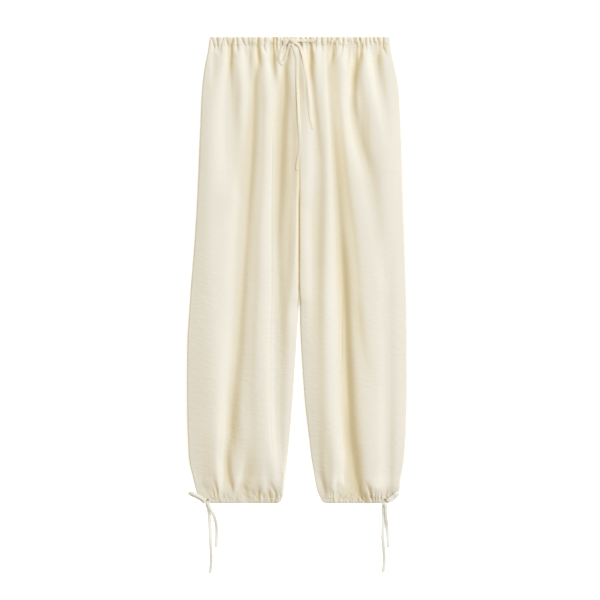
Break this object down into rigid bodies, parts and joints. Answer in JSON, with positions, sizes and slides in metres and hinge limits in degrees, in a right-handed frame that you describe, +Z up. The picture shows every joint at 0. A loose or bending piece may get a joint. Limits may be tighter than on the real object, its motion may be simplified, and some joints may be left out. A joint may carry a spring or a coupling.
{
  "type": "pair of drawstring parachute trousers laid flat",
  "caption": "Loose drawstring trousers with gathered waist and hems, laid flat front up, with a knotted waist tie and a knotted tie at each hem.",
  "frame": {"origin": "centre of the underside of the laid-out cloth, ties not counted", "axes": "+Z is up, out of the front of the garment; +Y points from the hems to the waist; +X points to the wearer's left leg"},
  "size_m": [0.4638, 1.1267, 0.0201],
  "materials": {
    "front_cloth": "matte crinkled crepe",
    "back_cloth": "matte crinkled crepe",
    "casing_cloth": "matte gathered crepe",
    "tie_cloth": "matte sewn tie"
  },
  "bodies": {
    "root": {"front_right_leg": "front_cloth", "front_left_leg": "front_cloth", "back_right_leg": "back_cloth", "back_left_leg": "back_cloth", "waist_casing_front": "casing_cloth", "waist_casing_back": "casing_cloth", "hem_casing_right_front": "casing_cloth", "hem_casing_right_back": "casing_cloth", "hem_casing_left_front": "casing_cloth", "hem_casing_left_back": "casing_cloth", "waist_tie_knot": "tie_cloth", "waist_tie_strand_left": "tie_cloth", "waist_tie_strand_right": "tie_cloth", "waist_tie_loop": "tie_cloth", "waist_tie_tail_long": "tie_cloth", "waist_tie_tail_short": "tie_cloth", "hem_tie_right_knot": "tie_cloth", "hem_tie_right_loop": "tie_cloth", "hem_tie_right_tail_long": "tie_cloth", "hem_tie_right_tail_short": "tie_cloth", "hem_tie_left_knot": "tie_cloth", "hem_tie_left_loop": "tie_cloth", "hem_tie_left_tail_long": "tie_cloth", "hem_tie_left_tail_short": "tie_cloth"}
  },
  "joints": []
}
